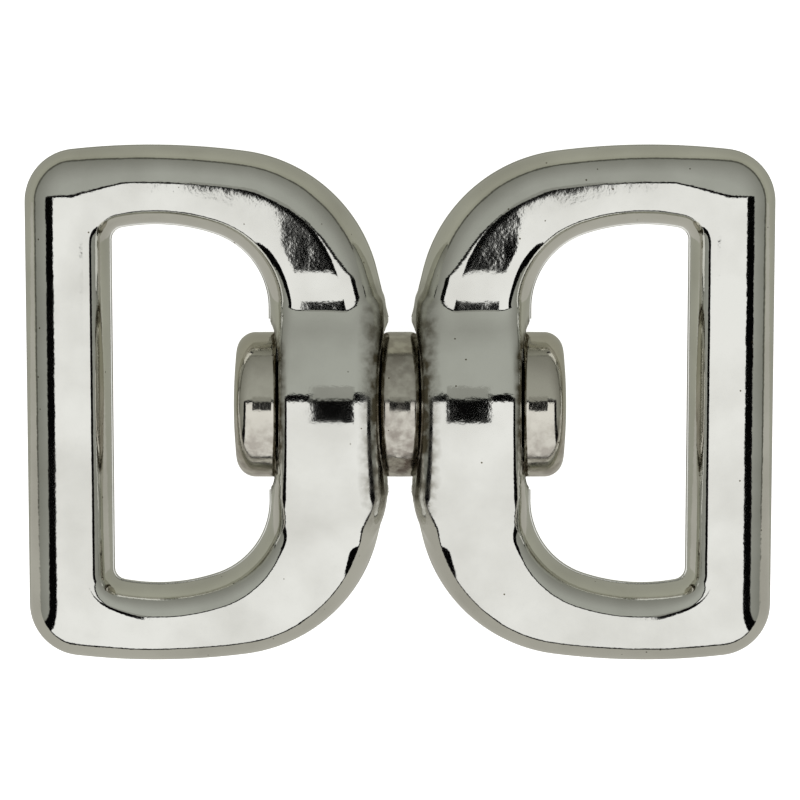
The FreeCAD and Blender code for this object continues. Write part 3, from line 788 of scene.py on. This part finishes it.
def room():
    world = bpy.data.worlds.new("studio")
    bpy.context.scene.world = world
    world.use_nodes = True
    tree = world.node_tree
    tree.nodes.clear()
    way = add(tree, "ShaderNodeTexCoord").outputs["Generated"]
    part = add(tree, "ShaderNodeSeparateXYZ", {0: way})
    tilt_rad = add(tree, "ShaderNodeMath", {0: part.outputs["Y"], 1: part.outputs["Z"]}, operation="ARCTAN2")
    tilt = add(tree, "ShaderNodeMath", {0: tilt_rad.outputs[0]}, operation="DEGREES").outputs[0]
    swing_rad = add(tree, "ShaderNodeMath", {0: part.outputs["X"]}, operation="ARCSINE")
    swing = add(tree, "ShaderNodeMath", {0: swing_rad.outputs[0]}, operation="DEGREES").outputs[0]
    walls = ramp(tree, part.outputs["Z"], -1.0, 1.0, [
        (-1.0, "#9d9d92"), (-0.30, "#adada0"), (-0.12, "#a6a698"), (-0.07, "#56564f"), (-0.02, "#56564f"),
        (0.02, "#8c8d86"), (0.35, "#9b9c96"), (0.75, "#b0b2ac"), (1.0, "#b3b5af")])
    painted = walls
    for sizes, colour in ((NEAR_TABLE, "#b7b5ad"), (RIM, "#060606"), (SOFTBOX, "#ffffff"),
                          (BEHIND_CAMERA, "#9b9c96"), (CAMERA_SPOT, "#060606")):
        painted = panel(tree, tilt, swing, sizes, painted, colour)
    lit = add(tree, "ShaderNodeBackground", {"Color": painted, "Strength": 1.0})
    plain = add(tree, "ShaderNodeBackground", {"Color": linear("#ffffff"), "Strength": 1.0})
    seen = add(tree, "ShaderNodeLightPath")
    chosen = add(tree, "ShaderNodeMixShader", {0: seen.outputs["Is Camera Ray"], 1: lit.outputs[0],
                                               2: plain.outputs[0]})
    add(tree, "ShaderNodeOutputWorld", {"Surface": chosen.outputs[0]})


room()
bpy.context.scene.view_settings.view_transform = "Standard"
print("softbox spans", 2 * SOFTBOX[1], "by", 2 * SOFTBOX[2], "degrees")

# %% [markdown]
# ## The floor
# A sheet of white paper lies under the part. It glows, so that it looks as white as the backdrop,
# and it is left out of mirror reflections.

# %% Pale floor
def pale_floor():
    """A wide white sweep. It doesn't show in the plating, because the room stands for it there."""
    low = cad_box[0][2]
    half = 1.5
    mesh = bpy.data.meshes.new("floor")
    mesh.from_pydata([(-half, -half, low), (half, -half, low), (half, half, low), (-half, half, low)],
                     [], [(0, 1, 2, 3)])
    floor = new_piece("floor", mesh)
    material = bpy.data.materials.new("white paper sweep")
    material.use_nodes = True
    tree = material.node_tree
    shader = tree.nodes["Principled BSDF"]
    shader.inputs["Base Color"].default_value = linear("#f2f2f0")
    shader.inputs["Roughness"].default_value = 0.9
    shader.inputs["Emission Color"].default_value = linear("#ffffff")
    shader.inputs["Emission Strength"].default_value = 0.9
    mesh.materials.append(material)
    floor.visible_glossy = False


pale_floor()
print("the paper lies at Z =", round(cad_box[0][2] / MM, 2), "mm")

# %% [markdown]
# ## The camera
# A long lens looks down on the part from a little above its far side, as on a copy stand.

# %% Camera
CAMERA_AWAY, CAMERA_TILT, FRAME_WIDE, SENSOR_MM = 0.238, math.radians(7), 0.056, 36.0
LOOK_AT = Vector((0.0, 0.0003, 0.0))
camera = bpy.data.objects.new("camera", bpy.data.cameras.new("camera"))
bpy.context.scene.collection.objects.link(camera)
camera.location = LOOK_AT + CAMERA_AWAY * Vector((0, math.sin(CAMERA_TILT), math.cos(CAMERA_TILT)))
camera.rotation_euler = (-CAMERA_TILT, 0, 0)
camera.data.sensor_width = SENSOR_MM
camera.data.lens = SENSOR_MM * CAMERA_AWAY / FRAME_WIDE
bpy.context.scene.camera = camera
print("lens:", round(camera.data.lens), "mm")
